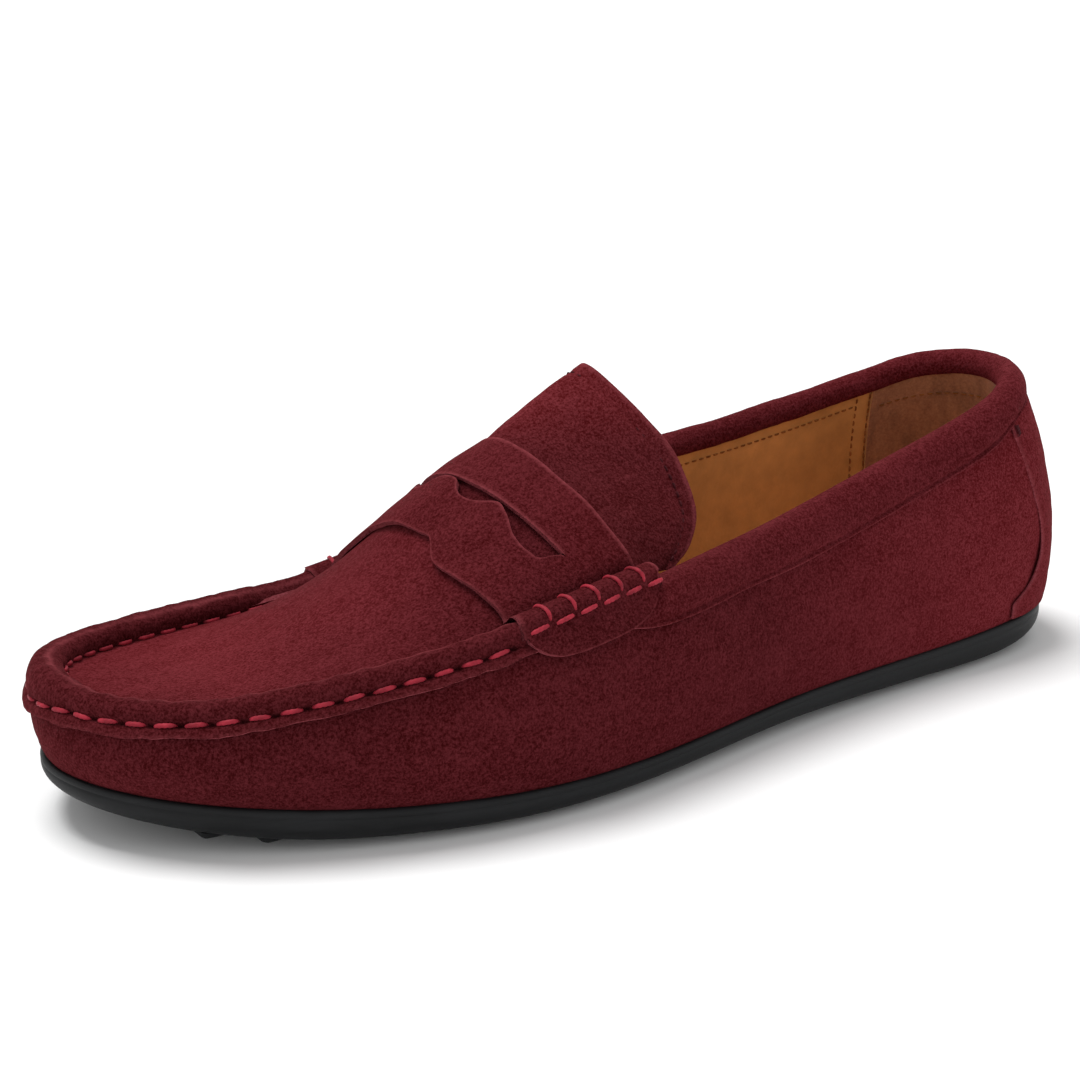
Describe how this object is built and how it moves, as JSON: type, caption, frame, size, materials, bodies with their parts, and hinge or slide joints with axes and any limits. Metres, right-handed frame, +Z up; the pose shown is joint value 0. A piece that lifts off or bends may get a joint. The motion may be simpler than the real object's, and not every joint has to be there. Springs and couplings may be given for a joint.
{
  "type": "penny loafer",
  "caption": "Left suede penny loafer of moccasin make, with a slotted strap, a padded collar, a flexing tongue and a studded rubber sole.",
  "frame": {"origin": "middle of the shoe's box, on the ground", "axes": "+X from toe to heel, +Y towards the inner (medial) side of this left shoe, +Z up"},
  "size_m": [0.2801, 0.1012, 0.0832],
  "materials": {
    "suede": "raspberry-red napped suede",
    "lining_leather": "smooth tan lining leather",
    "grip_leather": "brown brushed lining leather",
    "sole_rubber": "matt black moulded rubber",
    "fibre_board": "raw pressed cellulose board",
    "foam": "open latex foam",
    "thread": "waxed raspberry thread"
  },
  "bodies": {
    "shoe": {"outsole": "sole_rubber", "insole_board": "fibre_board", "sock_foam": "foam", "sock_liner": "lining_leather", "vamp_wrap": "suede", "apron": "suede", "seam_roll": "suede", "vamp_lining": "lining_leather", "quarter_lining_lateral": "lining_leather", "quarter_lining_medial": "lining_leather", "toe_puff": "fibre_board", "heel_counter": "fibre_board", "heel_grip": "grip_leather", "collar_band": "suede", "collar_foam": "foam", "heel_panel": "suede", "penny_strap": "suede", "apron_thread": "thread", "strap_thread_lateral": "thread", "strap_thread_medial": "thread"},
    "tongue": {"tongue": "suede", "tongue_lining": "lining_leather"}
  },
  "joints": [
    {"name": "tongue_flex", "type": "hinge", "parent": "shoe", "child": "tongue", "pos_m": [-0.029, -0.00105, 0.0697], "axis": [0, -1, 0], "range_deg": [-4, 28], "stiffness_Nm_per_rad": 0.15}
  ]
}
